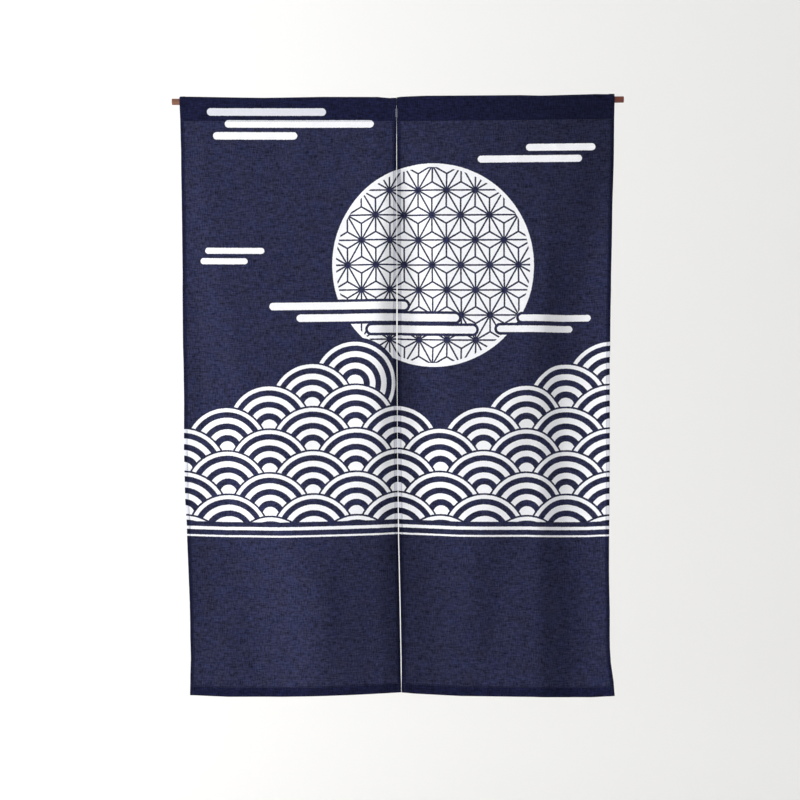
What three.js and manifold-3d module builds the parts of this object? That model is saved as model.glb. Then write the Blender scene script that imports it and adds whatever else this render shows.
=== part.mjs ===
import * as THREE from 'three';
import { mergeVertices } from 'three/addons/utils/BufferGeometryUtils.js';
import Module from 'manifold-3d';

// A noren: two cloth panels side by side, each with a casing at its top that one round rod runs through.
// Millimetres, +Z up, +X to the right of somebody who faces the front, and the front looks along -Y.
// The origin is the middle of the straight line between the centres of the rod's two end faces.

// Rod
const ROD_LENGTH = 910;
const ROD_DIAMETER = 13;
const ROD_SIDES = 16;
const ROD_STEPS = 22;
const ROD_SAG = 2.6;

// Cloth
const PANEL_WIDTH = 437.6;
const PANEL_DROP = 1197;
const CLOTH = 1.2;
const CASING_HEIGHT = 47;
const BOTTOM_HEM = 20.5;
const SIDE_HEM = 8;
const HEM_THICKENING = 0.8;
const HEM_STEP = 1;
const LAYER_GAP = 0.3;
const SEAM_HEIGHT = 2;
const SEAM_INSET = 2;

// Rows and columns of the grid that a panel is bent from
const FOLD_ROWS = 20;
const FOLD_COLUMNS = 22;
const CASING_SIDE_ROWS = 2;
const CROWN_ROWS = 10;

// The casing hugs the rod, and its lower stitch line is where the hanging part of the cloth begins.
const ROD_RADIUS = ROD_DIAMETER / 2;
const CROWN_RADIUS = ROD_RADIUS + LAYER_GAP + CLOTH / 2;
const STITCH_LINE = CASING_HEIGHT - CROWN_RADIUS - CLOTH / 2;
const BACK_LAYER = CLOTH + LAYER_GAP;

// The slit between the panels. Down is measured from the rod's axis, and the centre is an X.
// Over the casing the panels are sewn together, so only a hairline parts them.
const SLIT = [
  { down: 0, centre: -2.6, gap: 0.3 },
  { down: STITCH_LINE, centre: -2.6, gap: 0.3 },
  { down: 140, centre: -3.0, gap: 0.7 },
  { down: 350, centre: -3.4, gap: 0.8 },
  { down: 380, centre: -3.5, gap: 2.2 },
  { down: 495, centre: -4.2, gap: 2.4 },
  { down: 520, centre: -4.3, gap: 1.0 },
  { down: 690, centre: -4.4, gap: 0.6 },
  { down: 885, centre: -3.0, gap: 2.3 },
  { down: 1005, centre: -1.0, gap: 2.4 },
  { down: 1126, centre: 0.6, gap: 2.4 },
  { down: PANEL_DROP, centre: 0.8, gap: 1.6 },
];

// The length that each panel hangs, from the rod's axis to the hem's edge, across from its left side.
const HANG = {
  left: [
    { across: 0, drop: 1195 },
    { across: 80, drop: 1198 },
    { across: 190, drop: 1197.5 },
    { across: 330, drop: 1193 },
    { across: PANEL_WIDTH, drop: 1189.5 },
  ],
  right: [
    { across: 0, drop: 1189.5 },
    { across: 25, drop: 1192 },
    { across: 120, drop: 1197.5 },
    { across: 270, drop: 1201 },
    { across: 345, drop: 1205.5 },
    { across: 390, drop: 1206 },
    { across: PANEL_WIDTH, drop: 1203.5 },
  ],
};

// The folds. Each is a soft terrace: the cloth comes forward at rise and goes back at fall, both
// measured across from the panel's left side, and each over a width of its own. A forward of less than
// zero is a valley, and a fall beyond the panel's edge is not reached. Every value runs from the stitch
// line to the hem, and bend makes the line a curve. On the left panel: the broad fold that grows towards
// the hem, and the narrow one beside the slit. On the right panel: the valley that opens low down, the
// lift of the outer edge beyond it, and the broad fold that the right half of the casing drops from.
const BEYOND = [600, 600];
const FOLDS = {
  left: [
    { rise: [25, 255], riseOver: [30, 220], fall: [445, 325], fallOver: [30, 225], forward: [6, 45], bend: 1.7 },
    { rise: [365, 335], riseOver: [55, 70], fall: [435, 415], fallOver: [50, 65], forward: [9, 4], bend: 1.2 },
  ],
  right: [
    { rise: [320, 315], riseOver: [35, 90], fall: BEYOND, fallOver: [60, 60], forward: [2, -40], bend: 1 },
    { rise: [415, 405], riseOver: [50, 100], fall: BEYOND, fallOver: [60, 60], forward: [2, 14], bend: 0.8 },
    { rise: [40, 120], riseOver: [55, 125], fall: [425, 125], fallOver: [95, 110], forward: [16, 12], bend: 1 },
  ],
};
// How much narrower each panel is at its hem than at its top, apart from its folds.
const TAPER = { left: 9.5, right: 5 };
const FOLD_START = 0.16;
const HEM_CALM_FROM = 0.72;
const HEM_CALM = 0.36;
const HEM_CALM_POWER = 5;
const WIDTH_STEPS = 60;

const indigo = new THREE.MeshStandardMaterial({ color: 0x282b46, roughness: 0.95, metalness: 0 });
const wood = new THREE.MeshStandardMaterial({ color: 0x7d5342, roughness: 0.5, metalness: 0 });

function mix(pair, share) {
  return pair[0] + (pair[1] - pair[0]) * share;
}

// The value of one column of a table at a place along another column, in straight lines between rows.
function lookUp(table, key, place, column) {
  const next = table.findIndex((row) => row[key] >= place);
  if (next === 0) return table[0][column];
  if (next < 0) return table.at(-1)[column];
  const [before, after] = [table[next - 1], table[next]];
  return mix([before[column], after[column]], (place - before[key]) / (after[key] - before[key]));
}

// How far the rod, and the cloth on it, hangs below the line between the rod's ends.
function sagAt(x) {
  return ROD_SAG * (1 - (x / (ROD_LENGTH / 2)) ** 2);
}

// How far the cloth stands forward at a place across the panel and a share of the way down to the hem.
function forwardAt(side, across, share) {
  let forward = 0;
  for (const fold of FOLDS[side]) {
    const bent = share ** fold.bend;
    const pastRise = (across - mix(fold.rise, bent)) / mix(fold.riseOver, share);
    const pastFall = (across - mix(fold.fall, bent)) / mix(fold.fallOver, share);
    const up = THREE.MathUtils.smoothstep(pastRise, -0.5, 0.5);
    const down = THREE.MathUtils.smoothstep(pastFall, -0.5, 0.5);
    forward += mix(fold.forward, bent) * (up - down);
  }
  const calm = Math.max(0, (share - HEM_CALM_FROM) / (1 - HEM_CALM_FROM)) ** HEM_CALM_POWER;
  return forward * THREE.MathUtils.smoothstep(share, 0, FOLD_START) * (1 - HEM_CALM * calm);
}

// The width that cloth between two places takes up once its folds and its taper have drawn it in.
function drawnIn(side, from, to, share) {
  const step = (to - from) / WIDTH_STEPS;
  let width = 0;
  for (let i = 0; i < WIDTH_STEPS; i += 1) {
    const near = forwardAt(side, from + i * step, share);
    const far = forwardAt(side, from + (i + 1) * step, share);
    width += Math.sqrt(Math.max(0, step ** 2 - (far - near) ** 2));
  }
  return width * (1 - (share * TAPER[side]) / PANEL_WIDTH);
}

// Where a point of the unfolded cloth hangs, from its place across, behind the rod's axis and up.
function hang(side, across, behind, up) {
  const down = Math.max(0, -up);
  const share = Math.max(0, (down - STITCH_LINE) / (PANEL_DROP - STITCH_LINE));
  const centre = lookUp(SLIT, 'down', down, 'centre');
  const halfGap = lookUp(SLIT, 'down', down, 'gap') / 2;
  const x = side === 'left'
    ? centre - halfGap - drawnIn(side, across, PANEL_WIDTH, share)
    : centre + halfGap + drawnIn(side, 0, across, share);
  const drop = lookUp(HANG[side], 'across', across, 'drop');
  const z = share > 0 ? -(STITCH_LINE + share * (drop - STITCH_LINE)) : up;
  return new THREE.Vector3(x, behind - forwardAt(side, across, share), z - sagAt(x));
}

// The way of the cloth's middle layer in the plane across the rod, with X behind the rod's axis and Y
// up: from the hem's edge up to the stitch line, up the front, over the crown and down the back.
function courseOfCloth() {
  const course = [new THREE.Vector2(0, -PANEL_DROP), new THREE.Vector2(0, BOTTOM_HEM - PANEL_DROP)];
  const firstRow = BOTTOM_HEM + HEM_STEP - PANEL_DROP;
  for (let i = 0; i < FOLD_ROWS; i += 1) {
    course.push(new THREE.Vector2(0, mix([firstRow, -STITCH_LINE], i / FOLD_ROWS)));
  }
  const front = new THREE.Vector2(0, -STITCH_LINE);
  const back = new THREE.Vector2(BACK_LAYER, -STITCH_LINE);
  const frontTouch = front.angle() - Math.acos(CROWN_RADIUS / front.length());
  const backTouch = back.angle() + Math.acos(CROWN_RADIUS / back.length());
  const crown = new THREE.EllipseCurve(0, 0, CROWN_RADIUS, CROWN_RADIUS, frontTouch, backTouch, true);
  const overTheRod = crown.getPoints(CROWN_ROWS);
  for (let i = 0; i < CASING_SIDE_ROWS; i += 1) {
    course.push(front.clone().lerp(overTheRod[0], i / CASING_SIDE_ROWS));
  }
  course.push(...overTheRod);
  for (let i = 1; i <= CASING_SIDE_ROWS; i += 1) {
    course.push(overTheRod.at(-1).clone().lerp(back, i / CASING_SIDE_ROWS));
  }
  return course;
}

// The direction that the cloth's outer face looks in at each point of the course.
function outwards(course, index) {
  const along = course[Math.min(index + 1, course.length - 1)].clone().sub(course[Math.max(index - 1, 0)]);
  return new THREE.Vector2(-along.y, along.x).normalize();
}

// The places across a panel where the grid has a column, with a pair at the edge of each side hem.
function acrossStations() {
  const first = SIDE_HEM + HEM_STEP;
  const last = PANEL_WIDTH - first;
  const stations = [0, SIDE_HEM];
  for (let i = 0; i <= FOLD_COLUMNS; i += 1) stations.push(mix([first, last], i / FOLD_COLUMNS));
  stations.push(PANEL_WIDTH - SIDE_HEM, PANEL_WIDTH);
  return stations;
}

// The turned-in hems lie on the back of the hanging cloth, so they make it thicker towards the back.
function backOffset(across, down) {
  const inSideHem = across <= SIDE_HEM || across >= PANEL_WIDTH - SIDE_HEM;
  const inBottomHem = down >= PANEL_DROP - BOTTOM_HEM;
  const hemmed = down > STITCH_LINE && (inSideHem || inBottomHem);
  return CLOTH / 2 + (hemmed ? HEM_THICKENING : 0);
}

// One layer of cloth, cut flat as a box with a grid of columns and rows, and then bent along the
// course and hung in its folds. The box counts its columns, its rows and its two faces.
function sheet(side) {
  const stations = acrossStations();
  const course = courseOfCloth();
  const columns = stations.length - 1;
  const rows = course.length - 1;
  const geometry = new THREE.BoxGeometry(columns, rows, 1, columns, rows, 1);
  const points = geometry.attributes.position;
  for (let i = 0; i < points.count; i += 1) {
    const across = stations[Math.round(points.getX(i) + columns / 2)];
    const row = Math.round(points.getY(i) + rows / 2);
    const inFront = points.getZ(i) > 0;
    const offset = inFront ? CLOTH / 2 : -backOffset(across, -course[row].y);
    const place = course[row].clone().addScaledVector(outwards(course, row), offset);
    const hung = hang(side, across, place.x, course[row].y >= -STITCH_LINE ? place.y : course[row].y);
    points.setXYZ(i, hung.x, hung.y, hung.z);
  }
  return geometry;
}

// The row of sewing that closes the casing, as a low bar from the front layer to the back layer.
function casingSeam(side) {
  const geometry = new THREE.BoxGeometry(FOLD_COLUMNS, 1, 1, FOLD_COLUMNS, 1, 1);
  const points = geometry.attributes.position;
  const ends = [SEAM_INSET, PANEL_WIDTH - SEAM_INSET];
  for (let i = 0; i < points.count; i += 1) {
    const across = mix(ends, points.getX(i) / FOLD_COLUMNS + 0.5);
    const up = SEAM_HEIGHT * (points.getY(i) + 1) - STITCH_LINE;
    const hung = hang(side, across, BACK_LAYER * (0.5 - points.getZ(i)), up);
    points.setXYZ(i, hung.x, hung.y, hung.z);
  }
  return geometry;
}

const wasm = await Module();
wasm.setup();

function toSolid(geometry) {
  geometry.deleteAttribute('normal');
  geometry.deleteAttribute('uv');
  const merged = mergeVertices(geometry);
  return new wasm.Manifold(new wasm.Mesh({
    numProp: 3,
    vertProperties: merged.attributes.position.array,
    triVerts: new Uint32Array(merged.index.array),
  }));
}

function toGeometry(solid) {
  const { vertProperties, triVerts } = solid.getMesh();
  const geometry = new THREE.BufferGeometry();
  geometry.setAttribute('position', new THREE.BufferAttribute(vertProperties, 3));
  geometry.setIndex(new THREE.BufferAttribute(triVerts, 1));
  geometry.computeVertexNormals();
  return geometry;
}

function panel(side) {
  const solid = toSolid(sheet(side)).add(toSolid(casingSeam(side)));
  const mesh = new THREE.Mesh(toGeometry(solid), indigo.clone());
  mesh.name = `panel_${side}`;
  return mesh;
}

// The rod sags a little between its ends, and its end faces stay upright.
function rod() {
  const geometry = new THREE.CylinderGeometry(ROD_RADIUS, ROD_RADIUS, ROD_LENGTH, ROD_SIDES, ROD_STEPS);
  geometry.rotateZ(Math.PI / 2);
  const points = geometry.attributes.position;
  for (let i = 0; i < points.count; i += 1) points.setZ(i, points.getZ(i) - sagAt(points.getX(i)));
  geometry.computeVertexNormals();
  const mesh = new THREE.Mesh(geometry, wood);
  mesh.name = 'rod';
  return mesh;
}

const noren = new THREE.Group();
noren.add(panel('left'), panel('right'), rod());

export default noren;
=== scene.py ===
# %% [markdown]
# # A noren curtain on its rod
# A noren is a split curtain for a doorway. Two lengths of coarse indigo cloth hang side by side from one
# round wooden rod, and they are sewn together only over the casing at the top. The solids of the packed
# model give the size and the folds. This lesson makes the same pieces again as thin cloth, with real
# turned hems, sewing thread, a woven and dyed surface, and a rod with grain.

# %% The frame
import math

import bpy
import numpy as np
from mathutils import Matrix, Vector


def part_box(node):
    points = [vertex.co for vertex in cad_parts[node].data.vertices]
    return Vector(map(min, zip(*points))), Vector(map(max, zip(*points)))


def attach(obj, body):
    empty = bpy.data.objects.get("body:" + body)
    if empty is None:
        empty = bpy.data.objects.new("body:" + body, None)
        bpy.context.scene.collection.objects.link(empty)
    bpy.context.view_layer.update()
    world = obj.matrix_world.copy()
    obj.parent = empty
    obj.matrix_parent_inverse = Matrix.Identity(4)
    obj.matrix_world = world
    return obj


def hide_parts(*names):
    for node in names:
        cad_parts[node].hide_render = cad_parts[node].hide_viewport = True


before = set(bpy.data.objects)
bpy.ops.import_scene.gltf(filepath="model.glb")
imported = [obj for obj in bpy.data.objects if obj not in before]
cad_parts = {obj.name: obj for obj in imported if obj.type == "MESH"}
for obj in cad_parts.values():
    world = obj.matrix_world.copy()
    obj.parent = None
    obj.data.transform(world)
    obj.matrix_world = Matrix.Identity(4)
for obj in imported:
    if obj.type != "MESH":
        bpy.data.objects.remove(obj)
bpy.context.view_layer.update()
print("solids:", sorted(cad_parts))

# %% [markdown]
# ## Sizes
# The maker's cutting list is in millimetres, so the shapes below are worked out in millimetres, and the
# helper that fills a mesh turns them into metres. The rod's length and thickness are read from the frame.
# The rest are the sizes that the solids were built from, except the cloth's thickness and the pitch of
# its layers, which are those of the real, thinner cloth.

# %% The cutting list
MM = 0.001
rod_low, rod_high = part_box("rod")
ROD_LENGTH = (rod_high[0] - rod_low[0]) / MM
ROD_RADIUS = (rod_high[1] - rod_low[1]) / MM / 2
ROD_SAG = 2.6

PANEL_WIDTH = 437.6
PANEL_DROP = 1197.0
STITCH_LINE = 39.0
CASING_ROOM = 0.9
CROWN_RADIUS = ROD_RADIUS + CASING_ROOM
BOTTOM_HEM = 20.5
SIDE_HEM = 8.0
CLOTH = 0.7
LAYER_PITCH = 0.85
CASING_LIP = 2.5
print(f"rod {ROD_LENGTH:.0f} mm long, {2 * ROD_RADIUS:.1f} mm thick")

# %% [markdown]
# ## Where the cloth hangs
# A cloth this stiff falls in a few long, soft folds. Each one is a terrace: the cloth comes forward over
# one line and goes back over another. A simulation would hang two flat panels almost straight, and would
# not find the folds that this curtain was photographed in, so each fold is given by a few values. A fit
# to the photograph's shading found them first, and then they were rounded.

# %% Folds, slit and hem line
# The slit between the panels: down from the rod's axis, the middle of the slit, and its width.
SLIT = np.array([
    (0, -2.6, 0.3), (STITCH_LINE, -2.6, 0.3), (90, -2.8, 0.9), (350, -3.4, 0.9), (380, -3.5, 2.2),
    (495, -4.2, 2.4), (520, -4.3, 1.0), (690, -4.4, 0.6), (885, -3.0, 1.8), (1005, -1.0, 1.8),
    (1126, 0.6, 1.7), (1158, 0.7, 1.6), (1176, 0.8, 0.8), (PANEL_DROP, 0.8, 0.6),
])
# How far each panel hangs: across from its own left side, and down to the hem's edge.
HANG = {
    "left": np.array([(0, 1195), (80, 1198), (190, 1197.5), (330, 1193), (PANEL_WIDTH, 1189.5)]),
    "right": np.array([(0, 1189.5), (25, 1192), (120, 1197.5), (270, 1201), (345, 1205.5), (390, 1206),
                       (PANEL_WIDTH, 1203.5)]),
}
# Each fold: where it rises and over what width, where it falls and over what width, and how far it
# stands forward, each from the stitch line to the hem, and how much its line bends on the way.
BEYOND = (600, 600)
FOLDS = {
    "left": [
        ((25, 255), (30, 220), (445, 325), (30, 225), (6, 45), 1.7),
        ((365, 335), (55, 70), (435, 415), (50, 65), (9, 4), 1.2),
    ],
    "right": [
        ((320, 315), (35, 90), BEYOND, (60, 60), (2, -40), 1.0),
        ((415, 405), (50, 100), BEYOND, (60, 60), (2, 14), 0.8),
        ((40, 120), (55, 125), (425, 125), (95, 110), (16, 12), 1.0),
    ],
}
# How much narrower each panel is at its hem than at its top, apart from its folds.
TAPER = {"left": 9.5, "right": 5}
# The folds come in over this first share of the drop, and close to the hem they lose part of their height.
FOLD_START = 0.16
HEM_CALM_FROM = 0.72
HEM_CALM = 0.36
HEM_CALM_POWER = 5


def mix(pair, share):
    """From the first value to the second, by a share."""
    return pair[0] + (pair[1] - pair[0]) * share


def smooth(t):
    """A soft step: 0 before 0, 1 after 1, and three t squared less two t cubed between."""
    t = np.clip(t, 0, 1)
    return t * t * (3 - 2 * t)


def sag_at(x):
    """The rod hangs lowest in its middle, by a parabola."""
    return ROD_SAG * (1 - (x / (ROD_LENGTH / 2)) ** 2)


def fold_at(side, across, share):
    """The sum of the terraces: for each, its height times a soft step up less a soft step down."""
    forward = np.zeros(np.broadcast(across, share).shape)
    for rise, rise_over, fall, fall_over, height, bend in FOLDS[side]:
        bent = share ** bend
        up = smooth((across - mix(rise, bent)) / mix(rise_over, share) + 0.5)
        down = smooth((across - mix(fall, bent)) / mix(fall_over, share) + 0.5)
        forward += mix(height, bent) * (up - down)
    calm = np.clip((share - HEM_CALM_FROM) / (1 - HEM_CALM_FROM), 0, 1) ** HEM_CALM_POWER
    return forward * smooth(share / FOLD_START) * (1 - HEM_CALM * calm)


print("folds:", {side: len(folds) for side, folds in FOLDS.items()})

# %% [markdown]
# ## Small creases
# Between the long folds the cloth is never quite flat: it drags a little under the casing stitches,
# puckers along its hems and keeps soft marks of how it was folded away. Each mark is a low bell-shaped
# ridge or trough with its own place, so that no two are alike.

# %% Creases and puckers
# Each crease: across, lean over its length, from, to, width and height.
CREASES = {
    "left": [
        (44, 10, 39, 150, 13, 0.7), (118, -6, 39, 128, 10, 0.8), (196, 8, 39, 170, 15, -0.7),
        (262, -9, 39, 120, 11, 0.8), (334, 6, 39, 190, 14, 0.7), (401, -12, 39, 150, 10, 0.9),
        (60, 22, 1060, 1194, 34, 2.4), (414, -10, 1070, 1190, 20, 2.2), (226, 30, 560, 900, 30, 1.1),
        (128, 12, 820, 1150, 26, -1.2), (360, -14, 300, 640, 16, 0.9), (32, 4, 380, 700, 12, -0.8),
        (258, 8, 900, 1196, 42, 3.8), (403, -2, 240, 1196, 24, 3.6), (212, -20, 1010, 1196, 20, 0.9),
    ],
    "right": [
        (30, 8, 39, 140, 10, 0.9), (97, -10, 39, 160, 13, -0.7), (168, 7, 39, 125, 11, 0.8),
        (243, -5, 39, 180, 14, 0.7), (318, 9, 39, 130, 10, 0.8), (390, -8, 39, 165, 12, -0.7),
        (196, -6, 900, 1150, 24, -1.5), (24, 6, 900, 1188, 16, 1.2), (350, 16, 1080, 1196, 26, 2.0),
        (122, -18, 560, 860, 24, 1.0), (262, 10, 300, 620, 20, 0.9), (420, -4, 520, 1000, 9, -0.7),
        (-4, 2, 240, 1196, 24, 4.2),
    ],
}
CREASE_FADE = 60
CREASE_PAST_END = 0.3
# Puckers: their height, how far from a hem they reach, where below the casing they start, and their sine
# waves as length, phase and share of the height. They lean along a side hem and are shifted at the bottom.
PUCKER = 0.38
PUCKER_REACH = 17
PUCKER_START = 30
PUCKER_WAVES = [(23.0, 0.3, 1.0), (14.3, 1.7, 0.7), (37.0, 2.4, 0.8)]
PUCKER_LEAN = 0.6
PUCKER_SHIFT = 40


def crease_at(side, across, down):
    """The sum of the creases: a bell curve across each, times a soft start and a soft end along it."""
    total = np.zeros(np.broadcast(across, down).shape)
    for place, lean, start, end, width, height in CREASES[side]:
        middle = place + lean * (down - start) / (end - start)
        bell = np.exp(-(((across - middle) / width) ** 2))
        begins = smooth((down - start) / CREASE_FADE + CREASE_PAST_END)
        stops = smooth((end - down) / CREASE_FADE + CREASE_PAST_END)
        total += height * bell * (begins * stops)
    return total


def waves(along):
    """Three sine waves of unlike lengths, added up."""
    return sum(size * np.sin(2 * np.pi * along / length + phase) for length, phase, size in PUCKER_WAVES)


def pucker_at(across, down):
    """Low waves that run along each hem's stitches, and die out with distance from them."""
    from_side = np.minimum(across, PANEL_WIDTH - across) - SIDE_HEM
    from_hem = PANEL_DROP - BOTTOM_HEM - down
    at_side = np.exp(-((from_side / PUCKER_REACH) ** 2)) * waves(down + PUCKER_LEAN * across)
    at_hem = np.exp(-((from_hem / PUCKER_REACH) ** 2)) * waves(across + PUCKER_SHIFT)
    hanging = smooth((down - STITCH_LINE) / PUCKER_START)
    return PUCKER * hanging * (at_side + at_hem)


print("creases:", {side: len(creases) for side, creases in CREASES.items()})

# %% [markdown]
# ## Hanging a point of the cloth
# One function carries every piece of cloth and every stitch to its place. The casing hugs the rod, a
# little loosely, and more so on the right. Folds use up width, so a row of cloth is measured along its
# own waves, from the slit outwards, which draws the outer edges in where the folds are deep.

# %% From the flat cloth to its place
# The room between the rod's top and the casing, over the snug fit: across, and the room.
SLACK = {
    "left": np.array([(0, 2), (15, 3), (170, 1), (290, 3), (400, 2.5), (425, 0), (PANEL_WIDTH, -0.4)]),
    "right": np.array([(0, 0.5), (15, 3), (60, 4.5), (250, 4), (290, 2.5), (400, 4), (PANEL_WIDTH, 3)]),
}
# The casing stands clear of the rod from this far below the rod's axis, and fully after this rise.
SLACK_BELOW, SLACK_RISE = 9, 15
# Each panel's outer edge is eased in or out a little, to follow the photograph's outline. The values are
# rounded from measurements: down from the rod, and outward.
EASE = {
    "left": np.array([(0, -1), (100, -3), (210, -0.5), (600, 0.5), (700, 2.5), (800, 2.5), (850, 0.5),
                      (1080, 0.5), (1120, -1)]),
    "right": np.array([(0, 1), (90, 0), (400, 1), (500, 2), (700, 1.5), (950, 0), (1030, 1), (1100, -0.5),
                       (1130, 0), (1170, 3.5)]),
}
EASE_REACH = 90
WIDTH_STEPS = 48


def forward_at(side, across, down, share):
    """How far the cloth stands in front of the rod's axis."""
    small = crease_at(side, across, down) + pucker_at(across, down)
    return fold_at(side, across, share) + small


def eased_out(side, from_edge, down):
    """How far a point moves outward: the whole ease at the edge, and none a hand's width inside it."""
    return np.interp(down, EASE[side][:, 0], EASE[side][:, 1]) * smooth(1 - from_edge / EASE_REACH)


def width_taken(side, start, end, share):
    """The room that a stretch of cloth takes up: the sum of the level parts of many short chords."""
    steps = np.linspace(0, 1, WIDTH_STEPS + 1)
    places = start[..., None] + (end - start)[..., None] * steps
    height = fold_at(side, places, share[..., None])
    chord = (end - start)[..., None] / WIDTH_STEPS
    level = np.sqrt(np.maximum(chord ** 2 - np.diff(height, axis=-1) ** 2, 0)).sum(axis=-1)
    return level * (1 - share * TAPER[side] / PANEL_WIDTH)


def hang(side, across, behind, up):
    """A point of flat cloth, by its place across the panel, behind the rod's axis and up, as x, y, z."""
    across, behind, up = np.broadcast_arrays(across, behind, up)
    down = np.maximum(-up, 0.0)
    share = np.clip((down - STITCH_LINE) / (PANEL_DROP - STITCH_LINE), 0, 1)
    centre = np.interp(down, SLIT[:, 0], SLIT[:, 1])
    half_gap = np.interp(down, SLIT[:, 0], SLIT[:, 2]) / 2
    if side == "left":
        room = width_taken(side, across, np.full_like(across, PANEL_WIDTH), share)
        x = centre - half_gap - room - eased_out(side, across, down)
    else:
        room = width_taken(side, np.zeros_like(across), across, share)
        x = centre + half_gap + room + eased_out(side, PANEL_WIDTH - across, down)
    drop = np.interp(across, HANG[side][:, 0], HANG[side][:, 1])
    hanging = -(STITCH_LINE + share * (drop - STITCH_LINE))
    slack = np.interp(across, SLACK[side][:, 0], SLACK[side][:, 1]) * smooth((up + SLACK_BELOW) / SLACK_RISE)
    z = np.where(share > 0, hanging, up + slack)
    y = behind - forward_at(side, across, down, share)
    return np.stack([x, y, z - sag_at(x)], axis=-1)


for side in ("left", "right"):
    corner = hang(side, 0.0, 0.0, -PANEL_DROP)
    print(f"{side} panel's left lower corner: x {corner[0]:.1f}, y {corner[1]:.1f}, z {corner[2]:.1f} mm")

# %% [markdown]
# ## The way of the cloth over the rod
# Seen from the side, the cloth goes straight up from its hem to the stitch line, leans out to the rod,
# goes over it and comes back down to the same stitches. A place on the cloth is its distance along this
# way. The outward direction is the cross product of the two ways along the surface.

# %% The course of the cloth
BACK_GAP = 1.5
CROWN_STEPS = 40
# Half the step between the two places from which the outward direction is measured.
NUDGE = 0.4
# How far beyond a side hem the casing takes to come back from the room that the hem needs.
HEM_BLEND = 5
front_touch = 1.5 * math.pi - math.acos(CROWN_RADIUS / STITCH_LINE)
back_angle = math.atan2(-STITCH_LINE, BACK_GAP)
back_touch = back_angle + math.acos(CROWN_RADIUS / math.hypot(STITCH_LINE, BACK_GAP))
crown = np.linspace(front_touch, back_touch, CROWN_STEPS)
course_behind = np.concatenate([[0, 0], CROWN_RADIUS * np.cos(crown), [BACK_GAP, BACK_GAP]])
course_up = np.concatenate([
    [-PANEL_DROP, -STITCH_LINE], CROWN_RADIUS * np.sin(crown), [-STITCH_LINE, -STITCH_LINE - CASING_LIP],
])
course_length = np.concatenate([[0], np.cumsum(np.hypot(np.diff(course_behind), np.diff(course_up)))])
FRONT_STITCHES = PANEL_DROP - STITCH_LINE
CROWN_FROM, CROWN_TO = course_length[2], course_length[-3]
BACK_STITCHES = course_length[-2]
COURSE_END = course_length[-1]


def on_course(side, across, along):
    """A point of the cloth by its place across and its distance along the course from the hem."""
    behind = np.interp(along, course_length, course_behind)
    up = np.interp(along, course_length, course_up)
    return hang(side, across, behind, up)


def outward_at(side, across, along):
    """The direction that the cloth faces: the way across crossed with the way along, made one long."""
    along = np.clip(along, NUDGE, COURSE_END - NUDGE)
    across = np.clip(across, NUDGE, PANEL_WIDTH - NUDGE)
    way_across = on_course(side, across + NUDGE, along) - on_course(side, across - NUDGE, along)
    way_along = on_course(side, across, along + NUDGE) - on_course(side, across, along - NUDGE)
    outward = np.cross(way_across, way_along)
    return outward / np.linalg.norm(outward, axis=-1, keepdims=True)


def near_side(across):
    """One over a side hem, and softly down to nought beside it."""
    from_edge = np.minimum(across, PANEL_WIDTH - across)
    return smooth((SIDE_HEM + HEM_BLEND - from_edge) / HEM_BLEND)


def room_for_hems(along):
    """How far the casing is pushed out where side hems lie inside it, so that they clear the rod."""
    places = [FRONT_STITCHES, CROWN_FROM, CROWN_TO, BACK_STITCHES]
    return np.interp(along, places, [0, LAYER_PITCH, LAYER_PITCH, 2 * LAYER_PITCH], left=0)


def cloth_point(side, across, along, inward):
    """A point that lies inward of the cloth's middle layer by a distance, hems allowed for."""
    push = room_for_hems(along) * near_side(across) - inward
    return on_course(side, across, along) + outward_at(side, across, along) * push[..., None]


print(f"cloth over the rod: {COURSE_END:.0f} mm from hem to casing edge")

# %% [markdown]
# ## Meshes from grids
# A surface here is a grid of points with two parameters, so its faces are the same little loop of four
# neighbours everywhere. The grid goes into the mesh in one call, without a loop over its points.

# %% Grid helpers
def grid_faces(rows, columns, closed=False):
    """Four corners for each cell of a grid; a closed one also joins its last column to its first."""
    index = np.arange(rows * columns).reshape(rows, columns)
    right = np.roll(index, -1, axis=1) if closed else index[:, 1:]
    left = index if closed else index[:, :-1]
    return np.stack([left[:-1], right[:-1], right[1:], left[1:]], axis=-1).reshape(-1, 4)


def add_object(name, data):
    """A new object at the origin, in the scene."""
    thing = bpy.data.objects.new(name, data)
    bpy.context.scene.collection.objects.link(thing)
    return thing


def soft_mesh(name, points, faces):
    """A mesh with smooth shading, its points carried from millimetres to metres."""
    mesh = bpy.data.meshes.new(name)
    mesh.from_pydata(points.reshape(-1, 3) * MM, [], faces)
    mesh.polygons.foreach_set("use_smooth", np.full(len(mesh.polygons), True))
    mesh.update()
    return mesh


def make_piece(name, points, faces, uv=None):
    """A piece of the curtain, with a UV map in metres if one is given."""
    mesh = soft_mesh(name, points, faces)
    if uv is not None:
        corners = np.empty(len(mesh.loops), dtype=np.int32)
        mesh.loops.foreach_get("vertex_index", corners)
        layer = mesh.uv_layers.new(name="flat_cloth")
        layer.data.foreach_set("uv", (uv.reshape(-1, 2)[corners] * MM).ravel())
    piece = add_object(name, mesh)
    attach(piece, "root")
    return piece


print("a grid of 3 by 4 points has", len(grid_faces(3, 4)), "faces")

# %% [markdown]
# ## The camera
# The photograph is square on to the cloth, from nearly five metres away, and leans by a third of a
# degree, so that the rod's right end is a little higher in the picture.

# %% Camera
CAMERA_PLACE = (0.0012, -4.7, -0.603)
CAMERA_LENS = 105
CAMERA_FILM = 36
CAMERA_REACH = 60
CAMERA_LEAN = math.radians(0.304)

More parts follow.
